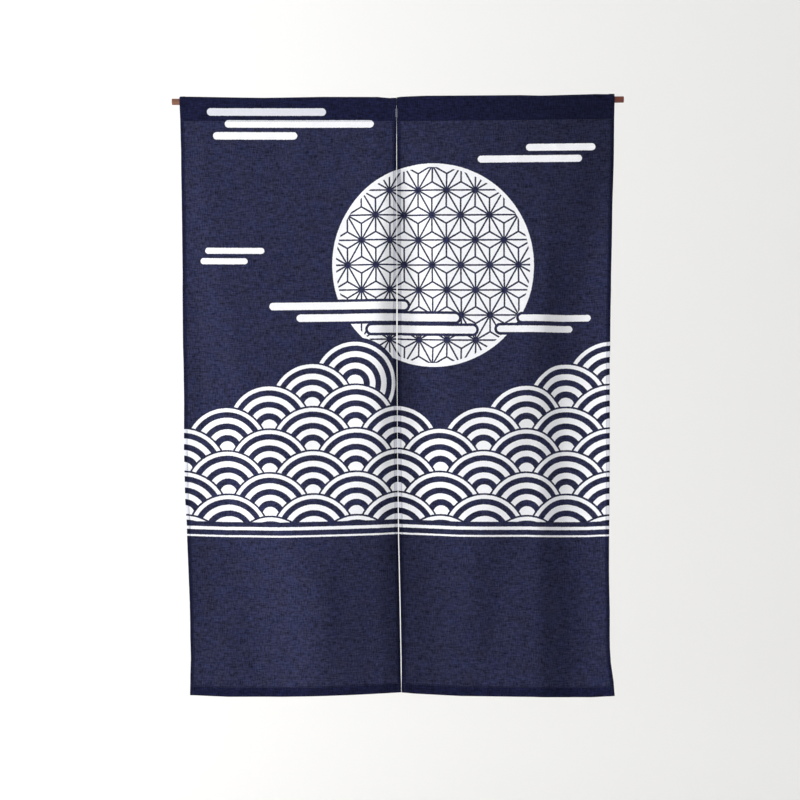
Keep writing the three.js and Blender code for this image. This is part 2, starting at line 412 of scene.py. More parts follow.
camera_data = bpy.data.cameras.new("camera")
camera_data.lens = CAMERA_LENS
camera_data.sensor_width = CAMERA_FILM
camera_data.clip_end = CAMERA_REACH
camera = add_object("camera", camera_data)
camera.location = CAMERA_PLACE
camera.rotation_euler = (math.pi / 2, CAMERA_LEAN, 0)
bpy.context.scene.camera = camera
print("camera", -CAMERA_PLACE[1], "m in front of the rod")

# %% [markdown]
# ## Node helpers
# A material is built from small nodes. Three helpers keep that readable: one feeds a number or another
# node into a socket, one adds a node with its settings, and one starts a material.

# %% Node helpers
def feed(tree, socket, value):
    """Links another node's output to a socket, or sets the socket to a plain value."""
    if isinstance(value, bpy.types.NodeSocket):
        tree.links.new(value, socket)
    else:
        socket.default_value = value


def add_node(tree, kind, inputs=(), **settings):
    """A new node with some of its settings and inputs filled in. Inputs are pairs of socket and value."""
    node = tree.nodes.new(kind)
    for name, value in settings.items():
        setattr(node, name, value)
    for socket, value in inputs:
        feed(tree, node.inputs[socket], value)
    return node


def new_material(name):
    """A material with nodes, its node tree and its Principled shader."""
    material = bpy.data.materials.new(name)
    material.use_nodes = True
    return material, material.node_tree, material.node_tree.nodes["Principled BSDF"]


# %% [markdown]
# ## The studio
# A pale floor runs up into a pale backdrop through a soft curve, which leaves no line behind the
# curtain. The backdrop is clear when seen from behind, so that the curtain's back can be looked at too.
# One large soft light stands on the left, and an even white sky fills the shadows.

# %% Backdrop, floor and light
FLOOR_LEVEL = -1740
WALL_BEHIND = 1500
WALL_TOP = 1400
STAGE_HALF_WIDTH = 8000
FLOOR_FRONT = -9000
CURVE = 420
CURVE_STEPS = 17
PAINT = (0.85, 0.843, 0.825, 1)
SKY = (0.97, 0.98, 1.0, 1)
SKY_STRENGTH = 0.668
LIGHT_PLACE = (-4.6, -1.8, 0.25)
LIGHT_TARGET = (0, 0, -0.6)
LIGHT_SIZE = 2.0
LIGHT_POWER = 247


def stage_profile():
    """Floor, a quarter circle, and wall, as points behind and up."""
    turn = np.linspace(-math.pi / 2, 0, CURVE_STEPS)
    behind = np.concatenate([[FLOOR_FRONT], WALL_BEHIND - CURVE + CURVE * np.cos(turn), [WALL_BEHIND]])
    up = np.concatenate([[FLOOR_LEVEL], FLOOR_LEVEL + CURVE + CURVE * np.sin(turn), [WALL_TOP]])
    return behind, up


def pale_paint():
    """Matt off-white on the side that faces the curtain, and clear on the other."""
    material, tree, paint = new_material("studio_paint")
    paint.inputs["Base Color"].default_value = PAINT
    paint.inputs["Roughness"].default_value = 0.9
    paint.inputs["Specular IOR Level"].default_value = 0.1
    clear = add_node(tree, "ShaderNodeBsdfTransparent").outputs["BSDF"]
    from_back = add_node(tree, "ShaderNodeNewGeometry").outputs["Backfacing"]
    inputs = [("Fac", from_back), (1, paint.outputs["BSDF"]), (2, clear)]
    either = add_node(tree, "ShaderNodeMixShader", inputs).outputs["Shader"]
    feed(tree, tree.nodes["Material Output"].inputs["Surface"], either)
    return material


def make_studio():
    """The profile carried sideways from one edge of the stage to the other."""
    behind, up = stage_profile()
    x, y = np.meshgrid([-STAGE_HALF_WIDTH, STAGE_HALF_WIDTH], behind)
    z = np.repeat(up[:, None], 2, axis=1)
    mesh = soft_mesh("studio", np.stack([x, y, z], axis=-1), grid_faces(len(behind), 2))
    mesh.materials.append(pale_paint())
    return add_object("studio", mesh)


studio = make_studio()

world = bpy.data.worlds.new("studio_sky")
world.use_nodes = True
sky = world.node_tree.nodes["Background"]
sky.inputs["Color"].default_value = SKY
sky.inputs["Strength"].default_value = SKY_STRENGTH
bpy.context.scene.world = world
bpy.context.scene.view_settings.view_transform = "Standard"


def soft_light(name, place, target, size, power):
    """A square light panel that faces its target."""
    data = bpy.data.lights.new(name, "AREA")
    data.shape = "SQUARE"
    data.size = size
    data.energy = power
    light = add_object(name, data)
    light.location = place
    aim = np.array(target) - np.array(place)
    light.rotation_euler = (math.atan2(math.hypot(aim[0], aim[1]), -aim[2]), 0,
                            math.atan2(-aim[0], aim[1]))


soft_light("window_left", LIGHT_PLACE, LIGHT_TARGET, LIGHT_SIZE, LIGHT_POWER)
print("one light of", LIGHT_POWER, "watts under an even sky")

# %% [markdown]
# ## Values in a shader group
# The weave, the print, the doubled cloth and the painted shade are groups that put out values and masks.
# Each is a formula, so the helpers here hand back one node's result, and a formula reads almost like plain
# sums.

# %% Group helpers
VECTOR, NUMBER = "NodeSocketVector", "NodeSocketFloat"


def maths(tree, operation, *values):
    """The result of one Math node."""
    return add_node(tree, "ShaderNodeMath", enumerate(values), operation=operation).outputs[0]


def plus(tree, first, second):
    """The first value plus the second."""
    return maths(tree, "ADD", first, second)


def minus(tree, first, second):
    """The first value less the second."""
    return maths(tree, "SUBTRACT", first, second)


def times(tree, first, second):
    """The first value times the second."""
    return maths(tree, "MULTIPLY", first, second)


def over(tree, first, second):
    """The first value divided by the second."""
    return maths(tree, "DIVIDE", first, second)


def stretched(tree, place, factors):
    """A place times its own number each way, which squeezes a pattern on it by those numbers."""
    return add_node(tree, "ShaderNodeVectorMath", [(0, place), (1, factors)],
                    operation="MULTIPLY").outputs[0]


def parts_of(tree, vector):
    """The x, y and z of a vector."""
    return add_node(tree, "ShaderNodeSeparateXYZ", [(0, vector)]).outputs


def noise(tree, place, scale, detail, roughness=0.5):
    """A soft noise: its value is the first output, and its colour is named Color."""
    inputs = [("Vector", place), ("Scale", scale), ("Detail", detail), ("Roughness", roughness)]
    return add_node(tree, "ShaderNodeTexNoise", inputs).outputs


def shader_group(name, inputs, outputs):
    """An empty node group with named sockets, and its two end nodes."""
    group = bpy.data.node_groups.new(name, "ShaderNodeTree")
    for way, sockets in (("INPUT", inputs), ("OUTPUT", outputs)):
        for title, kind in sockets:
            group.interface.new_socket(name=title, in_out=way, socket_type=kind)
    return group, group.nodes.new("NodeGroupInput"), group.nodes.new("NodeGroupOutput")


# %% [markdown]
# ## The weave
# The cloth is a coarse plain weave of slubby yarn. Each yarn swells and thins along its length, and in
# the picture these swellings show as short light and dark threads both ways. Noise that is stretched
# along the yarn gives them, one for each way. Two waves, one across the yarns and one along them, give
# the over and under of the weave, which only the bump uses.

# %% Woven thread group
YARN_PITCH = 0.00092
# How often the yarn tone changes in a metre: across the yarn and along it.
ACROSS_YARN, ALONG_YARN = 470, 85
WARP_SEED, WEFT_SEED = 0.0, 7.3
PATCH_SCALE = 34.0
WEAVE_SHARE = 0.55


def yarn_tone(group, flat, stretch, seed):
    """Noise stretched along one way of the yarns."""
    inputs = [("Vector", stretched(group, flat, stretch)), ("W", seed), ("Scale", 1.0), ("Detail", 2.0),
              ("Roughness", 0.6)]
    return add_node(group, "ShaderNodeTexNoise", inputs, noise_dimensions="4D").outputs[0]


def woven_threads():
    """Thread tones both ways and the height of the weave, from the flat cloth's own metres."""
    group, start, end = shader_group(
        "woven_threads", [("Flat", VECTOR)],
        [("Tone", NUMBER), ("Patch", NUMBER), ("Height", NUMBER)])
    flat = start.outputs["Flat"]
    warp = yarn_tone(group, flat, (ACROSS_YARN, ALONG_YARN, 1), WARP_SEED)
    weft = yarn_tone(group, flat, (ALONG_YARN, ACROSS_YARN, 1), WEFT_SEED)
    tone = times(group, plus(group, warp, weft), 0.5)
    patch = noise(group, flat, PATCH_SCALE, detail=4.0, roughness=0.7)[0]
    place = parts_of(group, flat)
    turn = math.pi / YARN_PITCH
    across = maths(group, "SINE", times(group, place[0], turn))
    along = maths(group, "SINE", times(group, place[1], turn))
    weave = maths(group, "ABSOLUTE", times(group, across, along))
    height = plus(group, times(group, weave, WEAVE_SHARE), tone)
    for name, value in (("Tone", tone), ("Patch", patch), ("Height", height)):
        feed(group, end.inputs[name], value)
    return group


woven = woven_threads()
print("weave group:", len(woven.nodes), "nodes")

# %% [markdown]
# ## The printed design
# On the real cloth the white is left undyed: a paste keeps the indigo out. Here the white shapes are old
# everyday patterns: a full moon filled with hemp leaf, bars of mist, and a band of waves. They are worked
# out as distances in the flat cloth's own metres, so they run over both panels and show on both faces.
# A distance is above nought inside a shape. The larger of two distances joins two shapes, and the
# smaller of two cuts one shape by the other.

# %% Distance helpers
EDGE = 0.0004


def soft_edge(tree, distance, half_width):
    """One where the distance is well above nought and nought well below it, smooth between."""
    node = add_node(tree, "ShaderNodeMapRange", interpolation_type="SMOOTHSTEP")
    feed(tree, node.inputs["Value"], distance)
    node.inputs["From Min"].default_value = -half_width
    node.inputs["From Max"].default_value = half_width
    return node.outputs["Result"]


def scaled(tree, vector, factor):
    """A vector or a colour times one number."""
    return add_node(tree, "ShaderNodeVectorMath", [(0, vector), ("Scale", factor)],
                    operation="SCALE").outputs[0]


def length_of(group, off_x, off_y):
    """The length of a step, by Pythagoras."""
    squares = plus(group, times(group, off_x, off_x), times(group, off_y, off_y))
    return maths(group, "SQRT", squares)


def joined(group, *shapes):
    """The distance inside the nearest of some shapes: the largest one."""
    largest = shapes[0]
    for shape in shapes[1:]:
        largest = maths(group, "MAXIMUM", largest, shape)
    return largest


def common(group, *shapes):
    """The distance inside what some shapes share: the smallest one."""
    smallest = shapes[0]
    for shape in shapes[1:]:
        smallest = maths(group, "MINIMUM", smallest, shape)
    return smallest


print(f"a printed edge is {2 * EDGE / MM:.1f} mm soft")

# %% [markdown]
# ### The moon
# Hemp leaf is a lattice of equal triangles, each split by lines from its corners to its middle. A printer
# cuts it as a stencil of long thin slots. Here a place is written as its three heights over the sides of
# its triangle, which makes both kinds of line simple to find.

# %% The moon of hemp leaves
MOON_X, MOON_Y, MOON_RADIUS = 0.072, -0.330, 0.205
MOON_RIM = 0.0075
LEAF_SIDE = 0.058
LEAF_LINE = 0.0034


def moon_of_leaves(group, across, along):
    """A disc cut by hemp leaf lines. In shares of a triangle's three heights, the least one is the
    distance to a side, and the middle one less the least is the distance to a line from a corner."""
    off_x = minus(group, across, MOON_X)
    off_y = minus(group, along, MOON_Y)
    disc = minus(group, MOON_RADIUS, length_of(group, off_x, off_y))
    slant = times(group, off_y, 1 / math.sqrt(3))
    first = maths(group, "FRACT", over(group, minus(group, off_x, slant), LEAF_SIDE))
    second = maths(group, "FRACT", over(group, slant, LEAF_SIDE / 2))
    both = plus(group, first, second)
    upper = maths(group, "GREATER_THAN", both, 1)
    flip = minus(group, 1, times(group, upper, 2))
    shares = [plus(group, upper, times(group, flip, part)) for part in (first, second)]
    shares.append(maths(group, "ABSOLUTE", minus(group, both, 1)))
    least = common(group, *shares)
    middle = minus(group, minus(group, 1, least), joined(group, *shares))
    to_side = times(group, least, LEAF_SIDE * math.sqrt(3) / 2)
    to_corner_line = times(group, minus(group, middle, least), LEAF_SIDE / 2)
    leaves = minus(group, common(group, to_side, to_corner_line), LEAF_LINE / 2)
    rim = minus(group, MOON_RIM, disc)
    return common(group, disc, joined(group, leaves, rim))


print(f"moon {2 * MOON_RADIUS:.2f} m across, leaves of {LEAF_SIDE / MM:.0f} mm")

# %% [markdown]
# ### The waves
# Overlapping rings in rows are an old way to print the sea. Each row stands half a radius below the
# one above and is moved sideways by a radius. The lowest row is in front.

# %% The band of waves
WAVE_RADIUS = 0.0875
WAVE_TOP_ROW = 14
WAVE_FOOT = -0.845
# How far the top of the sea swells, in rows, and how fast from one column to the next.
WAVE_SWELL, WAVE_TURN = 1.35, 1.9
# White rings of a wave, as shares of its radius from inside and outside.
WAVE_RINGS = [(-0.2, 0.20), (0.345, 0.475), (0.61, 0.74), (0.87, 0.957)]
# A wave can reach a place from this many rows, and a place that none reaches gets a distance beyond all.
ROWS_THAT_REACH = 4
NO_WAVE = 9


def wave_in_row(group, across, down, row):
    """How far a place is from the middle of the nearest wave in a row, as a share of the radius, and
    whether the sea reaches as high as that wave."""
    shift = times(group, maths(group, "MODULO", row, 2), 0.5)
    column = minus(group, over(group, across, 2 * WAVE_RADIUS), shift)
    nearest = maths(group, "ROUND", column)
    off_x = times(group, minus(group, column, nearest), 2)
    off_y = times(group, minus(group, row, down), 0.5)
    middle = times(group, plus(group, nearest, shift), WAVE_TURN)
    swell = times(group, maths(group, "SINE", middle), WAVE_SWELL)
    present = maths(group, "GREATER_THAN", minus(group, row, swell), WAVE_TOP_ROW)
    return length_of(group, off_x, off_y), present


def band_of_waves(group, across, along):
    """The waves' white rings, and the clear ground above the sea. The front wave that covers a place
    is found by going through the rows from the back, and keeping the last one that reaches it."""
    down = over(group, along, -WAVE_RADIUS / 2)
    back_row = maths(group, "FLOOR", down)
    found, sky = NO_WAVE, NO_WAVE
    for ahead in range(ROWS_THAT_REACH):
        row = plus(group, back_row, ahead)
        out, present = wave_in_row(group, across, down, row)
        covers = times(group, maths(group, "LESS_THAN", out, 1), present)
        others = times(group, found, minus(group, 1, covers))
        found = plus(group, others, times(group, covers, out))
        missing = times(group, minus(group, 1, present), NO_WAVE)
        sky = maths(group, "MINIMUM", sky, plus(group, out, missing))
    rings = joined(group, *[
        common(group, minus(group, found, inner), minus(group, outer, found))
        for inner, outer in WAVE_RINGS])
    above_foot = minus(group, along, WAVE_FOOT)
    white = common(group, times(group, rings, WAVE_RADIUS), above_foot)
    return white, times(group, minus(group, sky, 1), WAVE_RADIUS)


print(f"waves {2 * WAVE_RADIUS / MM:.0f} mm wide, {len(WAVE_RINGS)} white rings each")

# %% [markdown]
# ### The mist
# Long bars with round ends are an old sign for mist. Where they pass in front of the moon a narrow
# strip of indigo is left round them, as a stencil needs.

# %% Bars of mist
# Each bar: its middle across and up, its half length and its half thickness.
MIST = [
    (-0.262, -0.020, 0.120, 0.0075), (-0.196, -0.044, 0.150, 0.0075), (-0.285, -0.068, 0.085, 0.0075),
    (0.330, -0.094, 0.070, 0.0070), (0.268, -0.117, 0.105, 0.0070),
    (-0.120, -0.412, 0.140, 0.0075), (-0.040, -0.436, 0.165, 0.0075), (0.050, -0.460, 0.110, 0.0075),
    (0.322, -0.436, 0.076, 0.0065), (0.282, -0.458, 0.080, 0.0065), (-0.330, -0.300, 0.060, 0.0060),
    (-0.352, -0.321, 0.048, 0.0060),
]
CLEAR_STRIP = 0.0055
# Two lines under the waves: the middle of each and its half thickness.
LINES = [(-0.858, 0.0032), (-0.8735, 0.0018)]


def bars_of_mist(group, across, along):
    """The distance inside the nearest bar, a straight stretch with round ends."""
    bars = []
    for middle_x, middle_y, half_length, half_thickness in MIST:
        off_x = maths(group, "ABSOLUTE", minus(group, across, middle_x))
        past = maths(group, "MAXIMUM", minus(group, off_x, half_length - half_thickness), 0)
        off_y = minus(group, along, middle_y)
        bars.append(minus(group, half_thickness, length_of(group, past, off_y)))
    return joined(group, *bars)


def lines_below(group, along):
    """The distance inside the nearer of the two lines."""
    lines = []
    for middle, half in LINES:
        off = maths(group, "ABSOLUTE", minus(group, along, middle))
        lines.append(minus(group, half, off))
    return joined(group, *lines)


print(len(MIST), "bars of mist and", len(LINES), "lines under the waves")

# %% [markdown]
# ### The whole print
# A line of paste is never quite sharp, because it soaks a little way along the threads. So each place is
# first moved by a fine noise. Then the shapes are joined. The mist and the sea lie in front of the moon,
# and a clear strip parts them from it.

# %% The whole print
WANDER_SCALE, WANDER = 420.0, 0.0014


def resist_print():
    """White where the paste kept the dye out. The edges wander by a fraction of a thread."""
    group, start, end = shader_group("resist_print", [("Flat", VECTOR)], [("White", NUMBER)])
    flat = start.outputs["Flat"]
    wander = noise(group, flat, WANDER_SCALE, detail=1.0)["Color"]
    centred = add_node(group, "ShaderNodeVectorMath", [(0, wander), (1, (0.5, 0.5, 0.5))],
                       operation="SUBTRACT").outputs[0]
    small = scaled(group, centred, WANDER)
    moved = add_node(group, "ShaderNodeVectorMath", [(0, flat), (1, small)], operation="ADD").outputs[0]
    across, along = parts_of(group, moved)[:2]
    waves_white, above_sea = band_of_waves(group, across, along)
    mist = bars_of_mist(group, across, along)
    clear_of_mist = minus(group, -CLEAR_STRIP, mist)
    clear_of_sea = minus(group, above_sea, CLEAR_STRIP)
    moon = common(group, moon_of_leaves(group, across, along), clear_of_mist, clear_of_sea)
    shapes = joined(group, moon, mist, waves_white, lines_below(group, along))
    feed(group, end.inputs["White"], soft_edge(group, shapes, EDGE))
    return group


printed = resist_print()
print("print group:", len(printed.nodes), "nodes")

# %% [markdown]
# ## Doubled cloth
# One layer of this cloth lets light through between its threads, so it looks greyer and lighter than
# the hems and the casing, where two or more layers lie together. The group finds those places from the
# flat cloth: the strips along the sides, the strip at the bottom, and all above the stitch line.

# %% Doubled cloth group
DOUBLED_EDGE = 0.0006


def doubled_cloth():
    """One where the cloth lies double, from the distance to each edge of its panel."""
    group, start, end = shader_group("doubled_cloth", [("Flat", VECTOR)], [("Doubled", NUMBER)])
    across, along = parts_of(group, start.outputs["Flat"])[:2]
    from_slit = maths(group, "ABSOLUTE", across)
    at_slit = minus(group, SIDE_HEM * MM, from_slit)
    at_side = minus(group, from_slit, (PANEL_WIDTH - SIDE_HEM) * MM)
    at_hem = minus(group, (BOTTOM_HEM - PANEL_DROP) * MM, along)
    in_casing = plus(group, along, STITCH_LINE * MM)
    inside = joined(group, at_slit, at_side, at_hem, in_casing)
    feed(group, end.inputs["Doubled"], soft_edge(group, inside, DOUBLED_EDGE))
    return group


doubled = doubled_cloth()
print("doubled cloth group:", len(doubled.nodes), "nodes")

# %% [markdown]
# ## Painted shade on the cloth
# The dyed cloth is darkened in a few soft patches of painted shade: in the upper right corner, low on the
# left side and beside the slit. Each patch is a soft ellipse.

# %% Painted shade patches group
# Each patch of painted shade: its middle across and up, its reach across and up, and how much darker its
# middle is.
SHADE_PATCHES = [
    (0.400, -0.030, 0.330, 0.360, 0.30), (0.040, -0.950, 0.130, 0.560, 0.17),
    (0.000, -0.800, 0.034, 0.700, 0.22), (-0.440, -0.960, 0.080, 0.380, 0.18),
]


def painted_shade_patches():
    """How much of its colour the dyed cloth keeps under the painted shade: a product over the patches. Each
    takes away its depth times a soft step, which is one in the patch's middle and nought at its reach."""
    group, start, end = shader_group("painted_shade_patches", [("Flat", VECTOR)], [("Kept", NUMBER)])
    place = parts_of(group, start.outputs["Flat"])
    kept = 1.0
    for across, along, reach_across, reach_along, depth in SHADE_PATCHES:
        off_x = over(group, minus(group, place[0], across), reach_across)
        off_y = over(group, minus(group, place[1], along), reach_along)
        near = minus(group, 0.5, length_of(group, off_x, off_y))
        lost = times(group, soft_edge(group, near, 0.5), depth)
        kept = times(group, kept, minus(group, 1, lost))
    feed(group, end.inputs["Kept"], kept)
    return group


uneven = painted_shade_patches()
print("uneven dye group:", len(SHADE_PATCHES), "patches")

# %% [markdown]
# ## The dyed cloth
# The material puts the groups together. The indigo is bluer in some patches and greyer in others, and the
# slubs make it lighter or darker thread by thread. Where the cloth is doubled it is deeper, which is
# painted shade: a single layer lets light through from behind, and two layers do not. The painted shade
# patches darken it further. The white shows a trace of the yarn too, and where the cloth is doubled it
# is greyer, by the same painted shade.

# %% Colour helpers
def between(tree, value, old, new=(0, 1)):
    """A value carried from one range to another, and held at its ends."""
    inputs = [("Value", value), ("From Min", old[0]), ("From Max", old[1]), ("To Min", new[0]),
              ("To Max", new[1])]
    return add_node(tree, "ShaderNodeMapRange", inputs).outputs["Result"]


def blend(tree, share, first, second):
    """A colour between two colours."""
    node = add_node(tree, "ShaderNodeMix", data_type="RGBA")
    for name, value in (("Factor", share), ("A", first), ("B", second)):
        socket = next(s for s in node.inputs if s.name == name and s.enabled)
        feed(tree, socket, value)
    return next(s for s in node.outputs if s.enabled)


def bumped(tree, height, strength, distance):
    """The normal of a surface with a fine relief."""
    inputs = [("Height", height), ("Strength", strength), ("Distance", distance)]
    return add_node(tree, "ShaderNodeBump", inputs).outputs["Normal"]


# %% Cloth material
# The doubled colours are darker by painted shade: they lack the light that shines through a single layer
# from behind.
INDIGO_BLUE = (0.0213, 0.0246, 0.0648, 1)
INDIGO_GREY = (0.0233, 0.0245, 0.0545, 1)
INDIGO_DOUBLED_SHADE = (0.0082, 0.0097, 0.0345, 1)
UNDYED = (0.910, 0.912, 0.935, 1)
UNDYED_DOUBLED_SHADE = (0.700, 0.708, 0.770, 1)
# The part of each noise that is used, from its lowest to its highest value.
PATCH_RANGE = (0.35, 0.65)
TONE_RANGE = (0.335, 0.665)
# How much darker and lighter than its colour a thin and a thick stretch of yarn is, dyed and undyed.
YARN_RANGE = (0.12, 1.88)
PALE_RANGE = (0.93, 1.03)


def dyed_cloth():
    """Indigo plain weave with undyed shapes."""
    material, tree, shader = new_material("indigo_cloth")
    flat = add_node(tree, "ShaderNodeUVMap", uv_map="flat_cloth").outputs[0]
    threads = add_node(tree, "ShaderNodeGroup", node_tree=woven)
    white = add_node(tree, "ShaderNodeGroup", node_tree=printed)
    double = add_node(tree, "ShaderNodeGroup", node_tree=doubled)
    dye = add_node(tree, "ShaderNodeGroup", node_tree=uneven)
    for group in (threads, white, double, dye):
        feed(tree, group.inputs["Flat"], flat)
    patch = between(tree, threads.outputs["Patch"], PATCH_RANGE)
    indigo = blend(tree, patch, INDIGO_BLUE, INDIGO_GREY)
    # Where the cloth is doubled the indigo is darker by painted shade.
    indigo = blend(tree, double.outputs["Doubled"], indigo, INDIGO_DOUBLED_SHADE)
    indigo = scaled(tree, indigo, between(tree, threads.outputs["Tone"], TONE_RANGE, YARN_RANGE))
    # Patches of painted shade darken the indigo here.
    indigo = scaled(tree, indigo, dye.outputs["Kept"])
    # Where the cloth is doubled the white is greyer by painted shade.
    undyed = blend(tree, double.outputs["Doubled"], UNDYED, UNDYED_DOUBLED_SHADE)
    undyed = scaled(tree, undyed, between(tree, threads.outputs["Tone"], TONE_RANGE, PALE_RANGE))
    feed(tree, shader.inputs["Base Color"], blend(tree, white.outputs["White"], indigo, undyed))
    normal = bumped(tree, threads.outputs["Height"], strength=0.55, distance=0.0004)
    feed(tree, shader.inputs["Normal"], normal)
    shader.inputs["Roughness"].default_value = 0.92
    shader.inputs["Specular IOR Level"].default_value = 0.05
    shader.inputs["Sheen Weight"].default_value = 0.02
    shader.inputs["Sheen Roughness"].default_value = 0.6
    return material


indigo_cloth = dyed_cloth()
print("cloth material:", len(indigo_cloth.node_tree.nodes), "nodes")

# %% [markdown]
# ## The panels
# Each panel is one length of cloth. Its two sides are turned to the back, then its bottom, and its top
# goes over the rod. The grid follows the cloth from one turned edge to the other: it runs along the
# turned strip, round the fold in a half circle, and across the face. Where the bottom hem crosses the
# side hems the cloth lies four deep, so the lift grows there. A Solidify modifier gives it thickness.

# %% Panel grid
FACE_COLUMNS = 106
HANGING_ROWS = 262
CASING_ROWS = 12
CROWN_ROWS = 22
FOLD_STEPS = 5
TURNED_STEPS = 4


def turned_edge(strip):
    """Places from a turned strip's free edge, round the fold and on to the face, with how much of the
    turn is done: one on the strip and nought on the face."""
    fold = LAYER_PITCH / 2
    angle = np.linspace(math.pi / 2, -math.pi / 2, FOLD_STEPS)
    fold_places = CLOTH / 2 + fold - fold * np.cos(angle)
    strip_places = np.linspace(strip, fold_places[0], TURNED_STEPS, endpoint=False)
    places = np.concatenate([strip_places, fold_places])
    turned = np.concatenate([np.ones(TURNED_STEPS), (1 + np.sin(angle)) / 2])
    return places, turned


def panel_columns():
    """Places across a panel from one turned side to the other, how far each is turned, and its place on
    the flat cloth, where the strips lie outside the face."""
    edge, edge_turned = turned_edge(SIDE_HEM)
    face = np.linspace(edge[-1], PANEL_WIDTH - edge[-1], FACE_COLUMNS)[1:-1]
    across = np.concatenate([edge, face, PANEL_WIDTH - edge[::-1]])
    turned = np.concatenate([edge_turned, np.zeros(len(face)), edge_turned[::-1]])
    flat_edge = np.where(edge_turned > 0.5, -edge, edge)
    flat = np.concatenate([flat_edge, face, PANEL_WIDTH - flat_edge[::-1]])
    return across, turned, flat


def panel_rows():
    """Places along the course from the turned-up hem to the casing's back edge, in the same way."""
    edge, edge_turned = turned_edge(BOTTOM_HEM)
    hanging = np.linspace(edge[-1], FRONT_STITCHES, HANGING_ROWS)[1:]
    front = np.linspace(FRONT_STITCHES, CROWN_FROM, CASING_ROWS)[1:]
    top = np.linspace(CROWN_FROM, CROWN_TO, CROWN_ROWS)[1:]
    back = np.linspace(CROWN_TO, COURSE_END, CASING_ROWS)[1:]
    along = np.concatenate([edge, hanging, front, top, back])
    turned = np.concatenate([edge_turned, np.zeros(len(along) - len(edge))])
    flat = np.concatenate([np.where(edge_turned > 0.5, -edge, edge), along[len(edge):]])
    return along, turned, flat


def make_panel(side):
    """The whole length of cloth as one grid, thickened both ways from its middle layer."""
    across, side_turn, flat_across = panel_columns()
    along, hem_turn, flat_along = panel_rows()
    grid_across, grid_along = np.meshgrid(across, along)
    side_turn, hem_turn = np.meshgrid(side_turn, hem_turn)
    over_side = near_side(grid_across)
    inward = hem_turn * LAYER_PITCH * (1 + 2 * over_side) + side_turn * LAYER_PITCH * (1 - 2 * hem_turn)
    points = cloth_point(side, grid_across, grid_along, inward)
    from_slit = flat_across - PANEL_WIDTH if side == "left" else flat_across
    uv = np.stack(np.meshgrid(from_slit, flat_along - PANEL_DROP), axis=-1)
    cloth = make_piece(f"cloth_{side}", points, grid_faces(*grid_across.shape), uv)
    cloth.data.materials.append(indigo_cloth)
    thick = cloth.modifiers.new("thickness", "SOLIDIFY")
    thick.thickness = CLOTH * MM
    thick.offset = 0
    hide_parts(f"panel_{side}")
    print(cloth.name, len(cloth.data.polygons), "faces before thickness")
    return cloth


cloths = {side: make_panel(side) for side in ("left", "right")}

# %% [markdown]
# ## Sewing thread
# A machine sews the casing and the hems with dark thread. From both faces it shows as a row of short
# stitches that sink in at their ends. Each stitch is a small closed tube whose middle line is a low arch
# above the cloth, carried to its place by the same function as the cloth, so it follows every fold.

# %% Thread material
TWIST_SCALE, TWIST_BEND = 900.0, 1.5


def twisted_thread(name, colour, light):
    """Cotton thread with fine diagonal twist lines from the object's own coordinates."""
    material, tree, shader = new_material(name)
    place = add_node(tree, "ShaderNodeTexCoord").outputs["Object"]
    inputs = [("Vector", place), ("Scale", TWIST_SCALE), ("Distortion", TWIST_BEND)]
    twist = add_node(tree, "ShaderNodeTexWave", inputs, bands_direction="DIAGONAL").outputs["Fac"]
    feed(tree, shader.inputs["Base Color"], blend(tree, twist, colour, light))
    feed(tree, shader.inputs["Normal"], bumped(tree, twist, strength=0.4, distance=0.0001))
    shader.inputs["Roughness"].default_value = 0.7
    shader.inputs["Sheen Weight"].default_value = 0.1
    return material


navy_thread = twisted_thread("navy_thread", (0.010, 0.011, 0.030, 1), (0.026, 0.029, 0.060, 1))
grey_thread = twisted_thread("grey_thread", (0.075, 0.08, 0.12, 1), (0.22, 0.23, 0.29, 1))
print("threads:", navy_thread.name, "and", grey_thread.name)

# %% [markdown]
# ### Rows of stitches
# A panel has more than a thousand stitches, all alike, so one small tube serves for every one. A row is
# worked out as one array of stitch, ring and point, and each panel's rows are joined into one piece.

# %% Stitches
STITCH_PITCH = 3.4
STITCH_LENGTH = 2.7
THREAD_RADIUS = 0.2
THREAD_CLEAR = 0.05
ARCH = 0.16
STITCH_RINGS = 5
STITCH_SIDES = 5
# The thickness of a stitch at each of its rings, as a share of the thread's.
GIRTH = [0.45, 0.95, 1.0, 0.95, 0.45]
# How far a row lies inside a hem's free edge, where it starts from the panel's edge, how far below the
# casing's stitches it stops, and how far from the side hems the bottom hem's back row starts.
ROW_INSET = 1.6
ROW_START = 2.0
ROW_STOP = 3.0
BACK_ROW_START = 6.0


def tubes(middle, outward):
    """Closed tubes round many short middle lines at once. The lines are an array of line, ring and
    point; each ring is a circle in the plane of the outward way and the way sideways, and it narrows
    at both ends."""
    forward = np.gradient(middle, axis=1)
    forward /= np.linalg.norm(forward, axis=-1, keepdims=True)
    sideways = np.cross(forward, outward)
    sideways /= np.linalg.norm(sideways, axis=-1, keepdims=True)
    lift = np.cross(sideways, forward)
    angle = np.linspace(0, 2 * np.pi, STITCH_SIDES, endpoint=False)
    girth = THREAD_RADIUS * np.array(GIRTH)[:, None, None]
    ring = np.cos(angle)[:, None] * sideways[:, :, None] + np.sin(angle)[:, None] * lift[:, :, None]
    return middle[:, :, None] + girth * ring


def tube_faces(count):
    """The faces of one closed tube with an end cap at each end, repeated for every tube."""
    around = np.arange(STITCH_SIDES)
    side_faces = grid_faces(STITCH_RINGS, STITCH_SIDES, closed=True)
    last = (STITCH_RINGS - 1) * STITCH_SIDES
    step = STITCH_RINGS * STITCH_SIDES
    offsets = np.arange(count)[:, None, None] * step
    sides = (side_faces[None] + offsets).reshape(-1, 4)
    caps = np.stack([around[::-1], last + around])
    caps = (caps[None] + offsets).reshape(-1, STITCH_SIDES)
    return sides.tolist() + caps.tolist()


